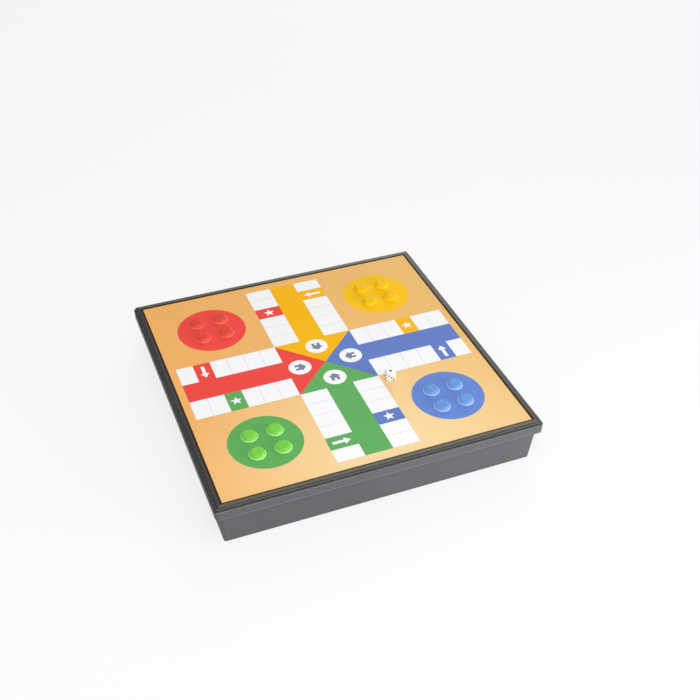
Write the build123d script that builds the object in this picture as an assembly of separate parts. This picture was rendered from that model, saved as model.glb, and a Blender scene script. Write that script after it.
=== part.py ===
from build123d import *
import math
import os

# Ludo board box: a drafted tray closed by a hinged lid that is the playing board.
# Units are millimetres. The origin is the centre of the face that the tray rests on,
# +Z is up, the hinge is on the +Y side and the lid lifts from the -Y side.

# ---------------------------------------------------------------- driving dimensions

# Printed board and the steel sheet under it
PRINT_SIDE = 250.0
PRINT_LEVEL = 39.4           # printed face above the table
PRINT_CORNER = 1.0
CARD_THICKNESS = 0.4
STEEL_THICKNESS = 0.4
BOARD_CLEARANCE = 0.15       # round the card and the sheet in their recess

# Lid
RIDGE_WIDTH = 4.0            # raised band round the print
RIDGE_PROUD = 0.5            # band above the printed face
LEDGE_WIDTH = 1.35           # lower band outside the ridge
LEDGE_DROP = 0.6
LID_EDGE = 1.2               # height of the lid's outer edge
LID_PANEL = 1.8              # plastic under the steel sheet
LID_CORNER = 1.0
LID_ROUND = 0.3              # rounding of the lid's upper edges
REBATE_WIDTH = 1.5           # overhang of the lid's outer edge past its seat
LEAD_IN = 0.5                # chamfer round the lid's seat
LIP_DEPTH = 3.4              # locating lip below the lid's seat
LIP_WALL = 1.6
LIP_CLEARANCE = 0.45
LIP_REAR_GAP = 10.0          # the lip stops this far short of the hinge side
LID_RIB = 1.2
LID_RIB_DEPTH = 2.4
LID_RIB_COUNT = 5            # each way

# Tray
SHADOW_GAP = 0.5             # open line between the lid's edge and the rim
SEAT_CLEARANCE = 0.6         # round the lid's seat
RIM_PROUD = 1.4              # rim outside the lid
RIM_CORNER = 3.2
RIM_EDGE = 0.6               # rounding of the rim's top edge
RIM_PLATE = 2.0              # rim thickness under the seat
SKIRT_HEIGHT = 8.2
SKIRT_WALL = 1.6
SKIRT_OVERHANG = 3.65        # skirt's lower edge outside the wall
SKIRT_DRAFT = 2.0            # degrees
BEAD_HEIGHT = 1.6            # rounded bead along the skirt's lower edge
BEAD_PROUD = 0.1
DRAFT = 4.6                  # degrees, walls
WALL = 2.2
WALL_CORNER = 2.0            # outside
CAVITY_CORNER = 2.8          # inside
FLOOR = 2.0
FLOOR_FILLET = 2.7
BASE_EDGE = 0.5
WEB = 1.2                    # ribs inside the rim
WEB_COUNT = 9                # on each side
WEB_RECESS = 0.8             # above the skirt's lower edge

# Dividers moulded on the tray's floor
DIVIDER = 1.6
DIVIDER_HEIGHT = 22.0
BAY_DEPTH = 46.0             # small-parts bays along the front wall
BAY_COUNT = 5
DIVIDER_EDGE = 0.5

# Hinge, two sets of three knuckles
HINGE_SPREAD = 0.6           # hinges' distance apart, in print sides
HINGE_DROP = 4.35            # axis below the rim's top
PIN_RADIUS = 1.0
PIN_FIT = 0.02               # pin in the tray's knuckles
PIN_RUNNING = 0.08           # pin in the lid's barrel
BARREL_RADIUS = 2.5
BARREL_STANDOFF = 0.2        # barrel clear of the rim
LID_BARREL_LENGTH = 16.0
TRAY_BARREL_LENGTH = 8.0
BARREL_GAP = 0.3
BLIND_END = 1.5              # closed end of the outer knuckle
ARM_CLEARANCE = 0.45         # lid's arm clear of the rim
NOTCH_SHARE = 0.6            # floor of the arm's notch above the axis, in barrel radii
OPENING = 105.0              # degrees
STOP_REACH = 3.6             # stop nose from the hinge axis
STOP_GAP = 0.06

# Playing men, four of each colour, and the die
MAN_RADIUS = 6.7
MAN_TOP_RADIUS = 5.3
MAN_HEIGHT = 3.6
MAN_EDGE = 0.9               # upright edge at the foot
MAN_ROUND = 1.1
MAGNET_RADIUS = 4.0
MAGNET_THICKNESS = 1.5
MAGNET_FIT = 0.05
MAGNET_RECESS = 0.1          # magnet above the man's foot
HOME_SHARE = 0.608           # home circle's centre from the board's centre lines, in half prints
MAN_SHARE = 0.082            # man from the home circle's centre lines, in half prints
DIE_SIDE = 8.0
DIE_ROUND = 1.0
DIE_SHARE = (0.3304, -0.3168)  # die from the board's centre lines, in half prints
DIE_TURN = -10.0              # degrees
PIP_PITCH = 2.0
PIP_RADIUS = 0.7
PIP_DEPTH = 0.3
ONE_PIP_RADIUS = 1.25

# ---------------------------------------------------------------- levels and half widths

FLARE = math.tan(math.radians(DRAFT))
SKIRT_FLARE = math.tan(math.radians(SKIRT_DRAFT))

RIDGE_TOP = PRINT_LEVEL + RIDGE_PROUD
LEDGE_LEVEL = RIDGE_TOP - LEDGE_DROP
LIP_LEVEL = LEDGE_LEVEL - LID_EDGE
STEEL_TOP = PRINT_LEVEL - CARD_THICKNESS
PANEL_TOP = STEEL_TOP - STEEL_THICKNESS
SEAT_LEVEL = PANEL_TOP - LID_PANEL
RIM_LEVEL = LIP_LEVEL - SHADOW_GAP
SKIRT_LEVEL = RIM_LEVEL - SKIRT_HEIGHT
PLATE_LEVEL = SEAT_LEVEL - RIM_PLATE

PRINT_HALF = PRINT_SIDE / 2
RECESS_HALF = PRINT_HALF + BOARD_CLEARANCE
RIDGE_HALF = RECESS_HALF + RIDGE_WIDTH
LID_HALF = RIDGE_HALF + LEDGE_WIDTH
LID_SEAT_HALF = LID_HALF - REBATE_WIDTH
STEP_HALF = LID_SEAT_HALF + SEAT_CLEARANCE
RIM_HALF = LID_HALF + RIM_PROUD
SKIRT_HALF = RIM_HALF - SKIRT_HEIGHT * SKIRT_FLARE
BASE_HALF = SKIRT_HALF - SKIRT_OVERHANG - SKIRT_LEVEL * FLARE

HINGE_Y = RIM_HALF + BARREL_STANDOFF + BARREL_RADIUS
HINGE_Z = RIM_LEVEL - HINGE_DROP
HINGE_PLACES = (-HINGE_SPREAD * PRINT_HALF, HINGE_SPREAD * PRINT_HALF)
TRAY_BARREL_START = LID_BARREL_LENGTH / 2 + BARREL_GAP
TRAY_BARREL_END = TRAY_BARREL_START + TRAY_BARREL_LENGTH

HOME_OFFSET = HOME_SHARE * PRINT_HALF
MAN_OFFSET = MAN_SHARE * PRINT_HALF
COLOURS = {"red": (-1, 1), "yellow": (1, 1), "green": (-1, -1), "blue": (1, -1)}


def wall_half(level):
    """Half width of the tray's outer wall at a level."""
    return BASE_HALF + level * FLARE


def rim_half(level):
    """Half width of the rim's skirt at a level."""
    return RIM_HALF - (RIM_LEVEL - level) * SKIRT_FLARE


def square(half, corner, level):
    """A square with rounded corners, centred on the origin at a level."""
    return Pos(0, 0, level) * RectangleRounded(2 * half, 2 * half, corner)


def block(half, corner, low, high):
    """An upright block with rounded corners."""
    return extrude(square(half, corner, low), high - low)


def flared_block(half_low, half_high, corner, low, high):
    """A block with rounded corners and four leaning walls."""
    return loft([square(half_low, corner, low), square(half_high, corner, high)], ruled=True)


def bar(x0, x1, y0, y1, z0, z1):
    """A plain bar between two corners."""
    return Pos((x0 + x1) / 2, (y0 + y1) / 2, (z0 + z1) / 2) * Box(x1 - x0, y1 - y0, z1 - z0)


def four_sides(piece):
    """The piece and its copies on the other three sides."""
    return [Rot(0, 0, 90 * turn) * piece for turn in range(4)]


# ---------------------------------------------------------------- hinge profiles


def hinge_point(y, z):
    """A point of a hinge profile. Profiles are drawn square to X, from the hinge axis."""
    return (HINGE_Y + y, HINGE_Z + z)


def along_hinge(profile, x0, x1):
    """Extrude a profile drawn in Y and Z from x0 to x1."""
    side = Plane((x0, 0, 0), x_dir=(0, 1, 0), z_dir=(1, 0, 0))
    return extrude(side * profile, x1 - x0)


def hinge_circle(radius):
    """A circle about the hinge axis."""
    return Pos(*hinge_point(0, 0)) * Circle(radius)


def touch_barrel(y, z):
    """Where a line from a point of the lid touches the back of the barrel."""
    across, down = HINGE_Y - y, HINGE_Z - z
    distance = math.hypot(across, down)
    length = math.sqrt(distance ** 2 - BARREL_RADIUS ** 2)
    direction = math.atan2(down, across) + math.asin(BARREL_RADIUS / distance)
    return (y + length * math.cos(direction), z + length * math.sin(direction))


def knuckle_profile():
    """A tray knuckle: the barrel and the gusset that carries it on the skirt."""
    root = SKIRT_HALF - SKIRT_WALL / 2
    gusset = Polyline(
        (root, SKIRT_LEVEL + BEAD_HEIGHT / 2), (root, HINGE_Z + BARREL_RADIUS),
        hinge_point(0, BARREL_RADIUS), close=True,
    )
    return make_hull(hinge_circle(BARREL_RADIUS).edges() + gusset.edges())


def arm_profile():
    """A lid arm: it leaves the lid's edge, clears the rim and ends in the barrel."""
    root = LID_SEAT_HALF - LEAD_IN
    shoulder = (LID_HALF - LID_ROUND, LEDGE_LEVEL - LID_ROUND)
    neck = BARREL_RADIUS * math.sqrt(0.5)
    outline = Polyline(
        (root, SEAT_LEVEL + LEAD_IN), (root, LIP_LEVEL + LID_ROUND), shoulder, touch_barrel(*shoulder),
        hinge_point(0, 0), hinge_point(-neck, neck), (STEP_HALF + ARM_CLEARANCE, SEAT_LEVEL), close=True,
    )
    return make_face(outline) + hinge_circle(BARREL_RADIUS)


def stop_nose():
    """The nose that meets the rim's rear face when the lid is fully open."""
    face = HINGE_Y - rim_half(HINGE_Z - BARREL_RADIUS) - STOP_GAP
    open_angle = 180 + math.degrees(math.asin(face / STOP_REACH))
    shut_angle = math.radians(open_angle - OPENING)
    spread = math.radians(32)
    tip = (STOP_REACH * math.sin(shut_angle), STOP_REACH * math.cos(shut_angle))
    foot = 0.9 * BARREL_RADIUS
    corners = [hinge_point(*tip)]
    for angle in (shut_angle - spread, shut_angle + spread):
        corners.append(hinge_point(foot * math.sin(angle), foot * math.cos(angle)))
    return make_face(Polyline(*corners, close=True))


# ---------------------------------------------------------------- tray


def make_tray_shell():
    """Outer walls with the rim and its hanging skirt."""
    walls = flared_block(BASE_HALF, wall_half(SEAT_LEVEL), WALL_CORNER, 0, SEAT_LEVEL)
    walls = fillet(walls.faces().sort_by(Axis.Z)[0].edges(), BASE_EDGE)
    middle = SKIRT_LEVEL + BEAD_HEIGHT / 2
    rim = flared_block(rim_half(middle), RIM_HALF, RIM_CORNER, middle, RIM_LEVEL)
    rim = fillet(rim.faces().sort_by(Axis.Z)[-1].edges(), RIM_EDGE)
    bead_corner = RIM_CORNER + BEAD_PROUD
    bead = block(SKIRT_HALF + BEAD_PROUD, bead_corner, SKIRT_LEVEL, SKIRT_LEVEL + BEAD_HEIGHT)
    ends = bead.faces().sort_by(Axis.Z)
    bead = fillet(ends[0].edges() + ends[-1].edges(), BEAD_HEIGHT * 0.45)
    hollow_corner = RIM_CORNER - SKIRT_WALL
    hollow = flared_block(
        SKIRT_HALF - SKIRT_WALL, rim_half(PLATE_LEVEL) - SKIRT_WALL,
        hollow_corner, SKIRT_LEVEL, PLATE_LEVEL,
    )
    shell = walls + (rim + bead - hollow)
    return shell - block(STEP_HALF, RIM_CORNER - RIM_PROUD, SEAT_LEVEL, RIM_LEVEL + 1)


def make_cavity():
    """The tray's inside, with rounded floor edges."""
    cavity = flared_block(
        wall_half(FLOOR) - WALL, wall_half(SEAT_LEVEL) - WALL, CAVITY_CORNER, FLOOR, SEAT_LEVEL
    )
    return fillet(cavity.faces().sort_by(Axis.Z)[0].edges(), FLOOR_FILLET)


def make_webs():
    """Ribs that stiffen the hollow rim, evenly spaced on each side."""
    pitch = 2 * BASE_HALF / (WEB_COUNT + 1)
    inner = wall_half(SKIRT_LEVEL) - WALL / 2
    outer = SKIRT_HALF - SKIRT_WALL / 2
    top = PLATE_LEVEL + RIM_PLATE / 2
    webs = []
    for index in range(WEB_COUNT):
        x = (index - (WEB_COUNT - 1) / 2) * pitch
        web = bar(x - WEB / 2, x + WEB / 2, inner, outer, SKIRT_LEVEL + WEB_RECESS, top)
        webs += four_sides(web)
    return webs


def make_dividers():
    """A fence across the tray and the short fins that part the bays in front of it."""
    top = FLOOR + DIVIDER_HEIGHT
    front = wall_half(FLOOR) - WALL
    fence_y = BAY_DEPTH + DIVIDER / 2 - front
    reach = wall_half(top) - WALL / 2
    fence = bar(-reach, reach, fence_y - DIVIDER / 2, fence_y + DIVIDER / 2, FLOOR / 2, top)
    pitch = 2 * front / BAY_COUNT
    for index in range(1, BAY_COUNT):
        x = index * pitch - front
        fence += bar(x - DIVIDER / 2, x + DIVIDER / 2, -reach, fence_y, FLOOR / 2, top)
    crest = fence.faces().sort_by(Axis.Z)[-1]
    fence = chamfer(crest.edges(), DIVIDER_EDGE)
    return fence & flared_block(
        wall_half(0) - WALL / 2, wall_half(SEAT_LEVEL) - WALL / 2, CAVITY_CORNER, 0, SEAT_LEVEL
    )


def make_tray_knuckles():
    """For each hinge: a boss in the rim, a notch for the lid's arm and two knuckles."""
    inner = wall_half(SKIRT_LEVEL) - WALL / 2
    outer = SKIRT_HALF - SKIRT_WALL / 2
    notch_half = LID_BARREL_LENGTH / 2 + BARREL_GAP
    notch_level = HINGE_Z + NOTCH_SHARE * BARREL_RADIUS
    knuckles, cuts = [], []
    for place in HINGE_PLACES:
        outward = math.copysign(1, place)
        knuckles.append(bar(
            place - TRAY_BARREL_END, place + TRAY_BARREL_END,
            inner, outer, SKIRT_LEVEL + WEB_RECESS, PLATE_LEVEL + RIM_PLATE / 2,
        ))
        for side in (-1, 1):
            near = place + side * TRAY_BARREL_START
            far = place + side * TRAY_BARREL_END
            knuckles.append(along_hinge(knuckle_profile(), min(near, far), max(near, far)))
        bore_end = place + outward * (TRAY_BARREL_END - BLIND_END)
        bore_start = place - outward * (TRAY_BARREL_END + 1)
        cuts.append(along_hinge(
            hinge_circle(PIN_RADIUS + PIN_FIT), min(bore_start, bore_end), max(bore_start, bore_end)
        ))
        cuts.append(bar(
            place - notch_half, place + notch_half, STEP_HALF, RIM_HALF + 1, notch_level, RIM_LEVEL + 1
        ))
    return knuckles, cuts


def make_base_tray():
    """The tray in one moulding."""
    knuckles, cuts = make_tray_knuckles()
    tray = make_tray_shell() + make_webs()
    tray = tray - make_cavity() + make_dividers()
    return tray + knuckles - cuts


# ---------------------------------------------------------------- lid


def make_lid_plate():
    """The lid's stepped border and the recess that takes the steel sheet and the card."""
    seat = block(LID_SEAT_HALF, LID_CORNER, SEAT_LEVEL, LIP_LEVEL)
    seat = chamfer(seat.faces().sort_by(Axis.Z)[0].edges(), LEAD_IN)
    edge = block(LID_HALF, LID_CORNER, LIP_LEVEL, LEDGE_LEVEL)
    edge = fillet(edge.faces().sort_by(Axis.Z)[-1].edges(), LID_ROUND)
    ridge = block(RIDGE_HALF, LID_CORNER, LEDGE_LEVEL, RIDGE_TOP)
    ridge = fillet(ridge.faces().sort_by(Axis.Z)[-1].edges(), LID_ROUND)
    recess = block(RECESS_HALF, PRINT_CORNER, PANEL_TOP, RIDGE_TOP + 1)
    return seat + edge + ridge - recess


def make_locating_lip():
    """The lip that drops inside the tray on the front and the two sides."""
    foot = SEAT_LEVEL - LIP_DEPTH
    outer = wall_half(foot) - WALL - LIP_CLEARANCE
    ring = block(outer, CAVITY_CORNER, foot, SEAT_LEVEL)
    ring = chamfer(ring.faces().sort_by(Axis.Z)[0].edges(), LEAD_IN)
    ring -= block(outer - LIP_WALL, CAVITY_CORNER - LIP_WALL / 2, foot - 1, SEAT_LEVEL)
    return ring - bar(-outer - 1, outer + 1, outer - LIP_REAR_GAP, outer + 1, foot - 1, SEAT_LEVEL)


def make_lid_ribs():
    """A grid of stiffening ribs under the lid."""
    reach = wall_half(SEAT_LEVEL - LIP_DEPTH) - WALL - LIP_CLEARANCE - LIP_WALL / 2
    pitch = 2 * reach / (LID_RIB_COUNT + 1)
    low = SEAT_LEVEL - LID_RIB_DEPTH
    ribs = []
    for index in range(LID_RIB_COUNT):
        offset = (index - (LID_RIB_COUNT - 1) / 2) * pitch
        rib = bar(offset - LID_RIB / 2, offset + LID_RIB / 2, -reach, reach, low, SEAT_LEVEL)
        ribs += [rib, Rot(0, 0, 90) * rib]
    return ribs


def make_lid_arms():
    """The lid's hinge arms, with their barrels and stop noses, and the bores for the pins."""
    arms, bores = [], []
    half = LID_BARREL_LENGTH / 2
    for place in HINGE_PLACES:
        arms.append(along_hinge(arm_profile(), place - half, place + half))
        arms.append(along_hinge(stop_nose(), place - half, place + half))
        bores.append(along_hinge(hinge_circle(PIN_RADIUS + PIN_RUNNING), place - half - 1, place + half + 1))
    return arms, bores


def make_lid_frame():
    """The lid in one moulding."""
    arms, bores = make_lid_arms()
    lid = make_lid_plate() + make_locating_lip() + make_lid_ribs()
    return lid + arms - bores


# ---------------------------------------------------------------- loose pieces


def make_hinge_pin(place):
    """A plain steel pin, flush with the inner knuckle."""
    outward = math.copysign(1, place)
    start = place - outward * TRAY_BARREL_END
    end = place + outward * (TRAY_BARREL_END - BLIND_END)
    pin = along_hinge(hinge_circle(PIN_RADIUS), min(start, end), max(start, end))
    return chamfer(pin.edges().filter_by(GeomType.CIRCLE), PIN_RADIUS / 5)


def make_man():
    """A man: a low button with sloping sides and a pocket for its magnet."""
    pocket = MAGNET_RADIUS + MAGNET_FIT
    roof = MAGNET_RECESS + MAGNET_THICKNESS
    outline = Polyline(
        (0, roof), (pocket, roof), (pocket, 0), (MAN_RADIUS, 0),
        (MAN_RADIUS, MAN_EDGE), (MAN_TOP_RADIUS, MAN_HEIGHT), (0, MAN_HEIGHT), close=True,
    )
    profile = make_face(outline)
    rounded = [v for v in profile.vertices() if v.Y > MAN_EDGE / 2 and v.X > pocket + MAGNET_FIT]
    profile = fillet(rounded, MAN_ROUND)
    return revolve(Plane.XZ * profile, Axis.Z)


def make_magnet():
    """The disc magnet pressed into a man."""
    disc = Pos(0, 0, MAGNET_RECESS) * Cylinder(
        MAGNET_RADIUS, MAGNET_THICKNESS, align=(Align.CENTER, Align.CENTER, Align.MIN)
    )
    return disc


def home_places(quadrant):
    """The four places of the men in a home circle."""
    centre = Vector(quadrant[0] * HOME_OFFSET, quadrant[1] * HOME_OFFSET, PRINT_LEVEL)
    return [centre + Vector(x, y, 0) for y in (MAN_OFFSET, -MAN_OFFSET) for x in (-MAN_OFFSET, MAN_OFFSET)]


def pip_layout(count):
    """Where the pips of a face lie, in pip pitches."""
    corners = [(-1, 1), (1, -1), (1, 1), (-1, -1)]
    layout = corners[:2 * min(count // 2, 2)]
    if count == 6:
        layout = layout + [(-1, 0), (1, 0)]
    return layout + [(0, 0)] * (count % 2)


def make_die():
    """A die with rounded edges and drilled pips. Opposite faces add up to seven."""
    half = DIE_SIDE / 2
    cube = fillet(Box(DIE_SIDE, DIE_SIDE, DIE_SIDE).edges(), DIE_ROUND)
    faces = {1: Plane.XY, 6: Plane.XY.rotated((180, 0, 0)), 3: Plane.XZ,
             4: Plane.XZ.rotated((0, 0, 180)), 2: Plane.YZ, 5: Plane.YZ.rotated((0, 0, 180))}
    pips = []
    for count, face in faces.items():
        radius = ONE_PIP_RADIUS if count == 1 else PIP_RADIUS
        ball = (radius ** 2 + PIP_DEPTH ** 2) / (2 * PIP_DEPTH)
        lift = half - PIP_DEPTH + ball
        for x, y in pip_layout(count):
            pips.append(face * Pos(x * PIP_PITCH, y * PIP_PITCH, lift) * Sphere(ball))
    x, y = (share * PRINT_HALF for share in DIE_SHARE)
    place = Pos(x, y, PRINT_LEVEL + half) * Rot(0, 0, DIE_TURN)
    return place * (cube - pips)


# ---------------------------------------------------------------- build and write

NODES = {
    "base_tray": make_base_tray(),
    "lid_frame": make_lid_frame(),
    "steel_sheet": block(PRINT_HALF, PRINT_CORNER, PANEL_TOP, STEEL_TOP),
    "board_print": block(PRINT_HALF, PRINT_CORNER, STEEL_TOP, PRINT_LEVEL),
    "hinge_pin_left": make_hinge_pin(HINGE_PLACES[0]),
    "hinge_pin_right": make_hinge_pin(HINGE_PLACES[1]),
    "die": make_die(),
}

MAN = make_man()
MAGNET = make_magnet()
for colour, quadrant in COLOURS.items():
    for number, place in enumerate(home_places(quadrant), start=1):
        NODES[f"man_{colour}_{number}"] = Pos(*place) * MAN
        NODES[f"magnet_{colour}_{number}"] = Pos(*place) * MAGNET

os.makedirs("parts", exist_ok=True)
for name, shape in NODES.items():
    export_step(shape, f"parts/{name}.step")
    box = shape.bounding_box()
    print(f"{name:18s} solids {len(shape.solids())} x {box.min.X:8.2f} {box.max.X:8.2f} "
          f"y {box.min.Y:8.2f} {box.max.Y:8.2f} z {box.min.Z:7.2f} {box.max.Z:7.2f}")
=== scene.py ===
# %% [markdown]
# # A magnetic ludo board box
# The real object is a shallow plastic tray with a lid on two hinges. The lid's top face is the
# playing board, and sixteen magnetic men and a die stand on it. The CAD model says where each
# piece is, so it is loaded first and every new piece is made in the same place and size.

# %% Load the CAD frame
import math
import bpy
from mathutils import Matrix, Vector


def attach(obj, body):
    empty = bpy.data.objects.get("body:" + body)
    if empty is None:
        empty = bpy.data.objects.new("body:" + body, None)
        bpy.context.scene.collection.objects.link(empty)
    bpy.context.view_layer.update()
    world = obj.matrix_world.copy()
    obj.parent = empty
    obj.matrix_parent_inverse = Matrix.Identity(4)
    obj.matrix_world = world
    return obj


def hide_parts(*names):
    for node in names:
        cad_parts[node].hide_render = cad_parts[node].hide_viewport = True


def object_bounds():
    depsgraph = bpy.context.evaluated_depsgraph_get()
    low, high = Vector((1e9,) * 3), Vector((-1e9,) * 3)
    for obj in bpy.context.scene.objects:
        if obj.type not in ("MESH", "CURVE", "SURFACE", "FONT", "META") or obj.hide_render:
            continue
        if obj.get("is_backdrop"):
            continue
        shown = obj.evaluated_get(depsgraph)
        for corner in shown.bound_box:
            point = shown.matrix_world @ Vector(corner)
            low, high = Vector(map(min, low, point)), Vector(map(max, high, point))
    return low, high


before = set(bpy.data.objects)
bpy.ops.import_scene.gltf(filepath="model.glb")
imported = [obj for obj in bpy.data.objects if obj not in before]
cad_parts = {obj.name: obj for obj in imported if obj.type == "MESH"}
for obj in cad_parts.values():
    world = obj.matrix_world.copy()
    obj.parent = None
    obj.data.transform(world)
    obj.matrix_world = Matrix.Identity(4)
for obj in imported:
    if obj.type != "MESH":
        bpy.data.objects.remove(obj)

cad_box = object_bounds()
mm = 0.001
print("CAD nodes:", len(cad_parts), "- box in mm:", [[round(v / mm, 1) for v in c] for c in cad_box])

# %% [markdown]
# ## The camera
# A lens can be found from the board itself, because a square seen in perspective fixes the
# camera's place, its turn and its focal length. The camera is added by its operator, so these
# three are the only things to type in. It comes first, so that every later step can be judged
# from where the finished box is seen.

# %% Place the camera
camera_place = (-0.237575, -0.6469625, 0.590425)
camera_turn = (51.9325, -0.5013, -21.4793)
bpy.ops.object.select_all(action="DESELECT")
bpy.ops.object.camera_add(location=camera_place, rotation=[math.radians(a) for a in camera_turn])
camera = bpy.context.object
camera.name = "product_camera"
camera.data.sensor_width = 36
camera.data.lens = 54.82
camera.data.shift_x, camera.data.shift_y = -0.0007, 0.0007
camera.data.clip_start = 0.01
bpy.context.scene.camera = camera
print("Camera", round((camera.location - Vector((0, 0, 0.02))).length, 3), "m from the box")

# %% [markdown]
# ## Picking by place
# At the screen a maker clicks on the edge or point to work on. In a script it is chosen by where
# it is, so one helper opens a piece in edit mode with only the parts that pass a test selected.
# A second one puts an object's place and turn into its mesh, because a finished piece sits at
# the origin. The lengths of the pieces are given in millimetres, and only the camera, the floor
# and the lamps are placed in metres.

# %% Helpers that pick and settle
def pick_nothing():
    """Leave edit mode and deselect every object."""
    if bpy.context.object and bpy.context.object.mode != "OBJECT":
        bpy.ops.object.mode_set(mode="OBJECT")
    bpy.ops.object.select_all(action="DESELECT")


def take(piece):
    """Select one piece and make it the active one."""
    pick_nothing()
    piece.select_set(True)
    bpy.context.view_layer.objects.active = piece
    return piece


def settle(piece, name=None):
    """Put the object's place, turn and size into its mesh."""
    take(piece)
    bpy.ops.object.transform_apply(location=True, rotation=True, scale=True)
    if name:
        piece.name = piece.data.name = name
    return piece


def leave_mesh():
    """Go back from edit mode to object mode."""
    bpy.ops.object.mode_set(mode="OBJECT")


def pick(piece, kind, test):
    """Open a piece in edit mode, with the vertices or edges selected whose points all pass the test."""
    take(piece)
    bpy.ops.object.mode_set(mode="EDIT")
    bpy.ops.mesh.select_mode(type=kind)
    bpy.ops.mesh.select_all(action="DESELECT")
    leave_mesh()
    mesh = piece.data
    for part in mesh.vertices if kind == "VERT" else mesh.edges:
        points = [part.co] if kind == "VERT" else [mesh.vertices[i].co for i in part.vertices]
        part.select = test(points)
    bpy.ops.object.mode_set(mode="EDIT")


def pick_all(piece):
    """Open a piece in edit mode with everything selected."""
    take(piece)
    bpy.ops.object.mode_set(mode="EDIT")
    bpy.ops.mesh.select_mode(type="VERT")
    bpy.ops.mesh.select_all(action="SELECT")


def soften(piece, test, width, steps=3):
    """Bevel the edges that pass the test."""
    pick(piece, "EDGE", test)
    bpy.ops.mesh.bevel(offset=width * mm, offset_type="OFFSET", segments=steps, affect="EDGES")
    leave_mesh()
    return piece


def tell(piece):
    """Print a piece's size and how many faces it has."""
    points = [v.co for v in piece.data.vertices]
    size = [(max(p[i] for p in points) - min(p[i] for p in points)) / mm for i in range(3)]
    print(f"{piece.name}: {size[0]:.2f} x {size[1]:.2f} x {size[2]:.2f} mm, {len(piece.data.polygons)} faces")


print("Helpers ready")

# %% [markdown]
# ## Bars and joins
# Ribs, dividers and bosses all start as a cube that is stretched to a bar. They are joined to the
# main moulding with the Boolean modifier, as a moulder would cut them into one steel tool, so the
# moulding stays one closed skin. Ends that are to disappear inside a wall are buried half way in
# it, because faces that lie exactly on each other make a poor join.

# %% Helpers that add and join
def bar(name, x, width, y_limits, z_limits):
    """A cube stretched to a width about X, and between limits in Y and in Z."""
    (front, back), (low, high) = y_limits, z_limits
    pick_nothing()
    bpy.ops.mesh.primitive_cube_add(
        size=1, location=(x * mm, (front + back) / 2 * mm, (low + high) / 2 * mm),
        scale=(width * mm, (back - front) * mm, (high - low) * mm))
    return settle(bpy.context.object, name)


def rod(name, radius, x0, x1, y, z, sides=32):
    """A cylinder along X."""
    pick_nothing()
    bpy.ops.mesh.primitive_cylinder_add(
        vertices=sides, radius=radius * mm, depth=(x1 - x0) * mm,
        location=((x0 + x1) / 2 * mm, y * mm, z * mm), rotation=(0, math.radians(90), 0))
    return settle(bpy.context.object, name)


def modify(piece, kind, **settings):
    """Add a modifier to a piece, set it and apply it."""
    take(piece)
    bpy.ops.object.modifier_add(type=kind)
    modifier = piece.modifiers[-1]
    for setting, value in settings.items():
        setattr(modifier, setting, value)
    bpy.ops.object.modifier_apply(modifier=modifier.name)
    return piece


def combine(piece, other, operation="UNION", materials="INDEX"):
    """Join or cut a piece with another one, which is used up."""
    modify(piece, "BOOLEAN", operation=operation, object=other, solver="EXACT", material_mode=materials)
    bpy.data.objects.remove(other)
    return piece


def in_a_row(piece, count, pitch):
    """Repeat a piece along X at an even pitch."""
    return modify(piece, "ARRAY", count=count, use_relative_offset=False, use_constant_offset=True,
                  constant_offset_displace=(pitch * mm, 0, 0))


def copy_along(piece, x=0.0, y=0.0):
    """Add a moved copy of everything in the piece to the same piece."""
    pick_all(piece)
    bpy.ops.mesh.duplicate_move(TRANSFORM_OT_translate={"value": (x * mm, y * mm, 0)})
    leave_mesh()
    return piece


def on_four_sides(piece):
    """Spin three more copies of a piece round the box."""
    pick_all(piece)
    bpy.ops.mesh.spin(steps=3, dupli=True, angle=math.radians(270), center=(0, 0, 0), axis=(0, 0, 1))
    leave_mesh()
    return piece


def face_outwards(piece):
    """Merge doubled points and turn all faces outwards."""
    pick_all(piece)
    bpy.ops.mesh.remove_doubles(threshold=0.002 * mm)
    bpy.ops.mesh.normals_make_consistent(inside=False)
    leave_mesh()
    return piece


def shade(piece, angle=32):
    """Smooth shading over the small bevels, with the large faces kept flat."""
    take(piece)
    bpy.ops.object.shade_smooth_by_angle(angle=math.radians(angle))
    return modify(piece, "WEIGHTED_NORMAL", keep_sharp=True)


print("Bars and joins ready")

# %% [markdown]
# ## Rounded squares, bridged
# Tray and lid are both square in plan and change only with height. Such a body can be extruded
# and scaled step by step, but then every level keeps the same corner radius. Here each level
# is a plane whose four corners are rounded, so each has the corner radius that its wall really
# has. The planes are first stacked far apart and bridged in order, because two rings that lie
# flat inside each other are easily bridged with a twist, and then each is pushed to its level.

# %% Helpers for square mouldings
corner_steps = 7
stack_foot, stack_pitch = 1000, 20
slack, ring_slack = 0.01 * mm, 0.03 * mm


def lies_on(ring):
    """A test for points that lie on a ring: half width, corner radius and level."""
    half, corner, level = (v * mm for v in ring)

    def test(points):
        for p in points:
            a, b = abs(p.x) - half + corner, abs(p.y) - half + corner
            off = math.hypot(max(a, 0), max(b, 0)) + min(max(a, b), 0) - corner
            if abs(p.z - level) > slack or abs(off) > ring_slack:
                return False
        return True
    return test


def at_level(*levels):
    """A test for points that all lie at one of some levels."""
    return lambda points: any(all(abs(p.z - level * mm) < slack for p in points) for level in levels)


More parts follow.
